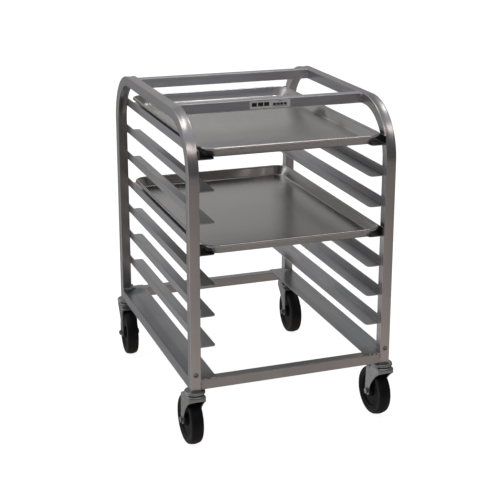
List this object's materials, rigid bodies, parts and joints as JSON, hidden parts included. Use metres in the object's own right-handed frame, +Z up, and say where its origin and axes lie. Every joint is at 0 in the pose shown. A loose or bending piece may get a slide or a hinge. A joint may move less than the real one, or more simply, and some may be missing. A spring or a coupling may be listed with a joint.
{
  "type": "sheet pan rack",
  "caption": "Half-height end-loading sheet pan rack: bent square-tube side frames, cross tubes, angle slides that hold flat pans, and swivel casters.",
  "frame": {"origin": "on the floor, under the middle of the rack's footprint", "axes": "+X to the right seen from the front, +Y to the rear, +Z up"},
  "size_m": [0.5559, 0.7194, 0.818],
  "materials": {
    "frame_aluminium": "mill finish, lightly brushed along the tube",
    "slide_aluminium": "mill finish extrusion, satin",
    "pan_aluminium": "satin sheet, scuffed",
    "wire_steel": "galvanised wire",
    "label_foil": "satin foil",
    "zinc_steel": "bright zinc plate",
    "bearing_steel": "polished",
    "core_plastic": "moulded, satin",
    "tyre_rubber": "hard rubber, satin"
  },
  "bodies": {
    "rack": {"side_frame_left": "frame_aluminium", "bottom_rail_left": "frame_aluminium", "pan_slide_left_1": "slide_aluminium", "pan_slide_left_2": "slide_aluminium", "pan_slide_left_3": "slide_aluminium", "pan_slide_left_4": "slide_aluminium", "pan_slide_left_5": "slide_aluminium", "pan_slide_left_6": "slide_aluminium", "pan_slide_left_7": "slide_aluminium", "side_frame_right": "frame_aluminium", "bottom_rail_right": "frame_aluminium", "pan_slide_right_1": "slide_aluminium", "pan_slide_right_2": "slide_aluminium", "pan_slide_right_3": "slide_aluminium", "pan_slide_right_4": "slide_aluminium", "pan_slide_right_5": "slide_aluminium", "pan_slide_right_6": "slide_aluminium", "pan_slide_right_7": "slide_aluminium", "top_tube_front": "frame_aluminium", "top_tube_rear": "frame_aluminium", "bottom_tube_front": "frame_aluminium", "bottom_tube_rear": "frame_aluminium", "label_plate": "label_foil", "stem_screws": "zinc_steel", "swivel_balls": "bearing_steel", "caster_stem_front_left": "zinc_steel", "caster_stem_front_right": "zinc_steel", "caster_stem_rear_left": "zinc_steel", "caster_stem_rear_right": "zinc_steel"},
    "pan_upper": {"sheet_pan_upper": "pan_aluminium", "pan_rim_wire_upper": "wire_steel"},
    "pan_lower": {"sheet_pan_lower": "pan_aluminium", "pan_rim_wire_lower": "wire_steel"},
    "swivel_front_left": {"caster_fork_front_left": "zinc_steel", "caster_axle_bolt_front_left": "zinc_steel", "caster_axle_nut_front_left": "zinc_steel", "caster_bushing_front_left": "bearing_steel"},
    "wheel_front_left": {"caster_wheel_core_front_left": "core_plastic", "caster_tyre_front_left": "tyre_rubber"},
    "swivel_front_right": {"caster_fork_front_right": "zinc_steel", "caster_axle_bolt_front_right": "zinc_steel", "caster_axle_nut_front_right": "zinc_steel", "caster_bushing_front_right": "bearing_steel"},
    "wheel_front_right": {"caster_wheel_core_front_right": "core_plastic", "caster_tyre_front_right": "tyre_rubber"},
    "swivel_rear_left": {"caster_fork_rear_left": "zinc_steel", "caster_axle_bolt_rear_left": "zinc_steel", "caster_axle_nut_rear_left": "zinc_steel", "caster_bushing_rear_left": "bearing_steel"},
    "wheel_rear_left": {"caster_wheel_core_rear_left": "core_plastic", "caster_tyre_rear_left": "tyre_rubber"},
    "swivel_rear_right": {"caster_fork_rear_right": "zinc_steel", "caster_axle_bolt_rear_right": "zinc_steel", "caster_axle_nut_rear_right": "zinc_steel", "caster_bushing_rear_right": "bearing_steel"},
    "wheel_rear_right": {"caster_wheel_core_rear_right": "core_plastic", "caster_tyre_rear_right": "tyre_rubber"}
  },
  "joints": [
    {"name": "pan_upper_slide", "type": "slide", "parent": "rack", "child": "pan_upper", "axis": [0, 1, 0], "range_m": [-0.66, 0.7]},
    {"name": "pan_lower_slide", "type": "slide", "parent": "rack", "child": "pan_lower", "axis": [0, 1, 0], "range_m": [-0.65, 0.71]},
    {"name": "swivel_front_left", "type": "hinge", "parent": "rack", "child": "swivel_front_left", "pos_m": [-0.24765, -0.3302, 0.1465], "axis": [0, 0, 1], "continuous": true},
    {"name": "wheel_front_left", "type": "hinge", "parent": "swivel_front_left", "child": "wheel_front_left", "pos_m": [-0.2482, -0.2952, 0.0635], "axis": [0.9999, 0.0157, 0], "continuous": true},
    {"name": "swivel_front_right", "type": "hinge", "parent": "rack", "child": "swivel_front_right", "pos_m": [0.24765, -0.3302, 0.1465], "axis": [0, 0, 1], "continuous": true},
    {"name": "wheel_front_right", "type": "hinge", "parent": "swivel_front_right", "child": "wheel_front_right", "pos_m": [0.24576, -0.29525, 0.0635], "axis": [0.9985, 0.0541, 0], "continuous": true},
    {"name": "swivel_rear_left", "type": "hinge", "parent": "rack", "child": "swivel_rear_left", "pos_m": [-0.24765, 0.3302, 0.1465], "axis": [0, 0, 1], "continuous": true},
    {"name": "wheel_rear_left", "type": "hinge", "parent": "swivel_rear_left", "child": "wheel_rear_left", "pos_m": [-0.24985, 0.29527, 0.0635], "axis": [-0.998, 0.0628, 0], "continuous": true},
    {"name": "swivel_rear_right", "type": "hinge", "parent": "rack", "child": "swivel_rear_right", "pos_m": [0.24765, 0.3302, 0.1465], "axis": [0, 0, 1], "continuous": true},
    {"name": "wheel_rear_right", "type": "hinge", "parent": "swivel_rear_right", "child": "wheel_rear_right", "pos_m": [0.24612, 0.29523, 0.0635], "axis": [-0.999, 0.0436, 0], "continuous": true}
  ]
}
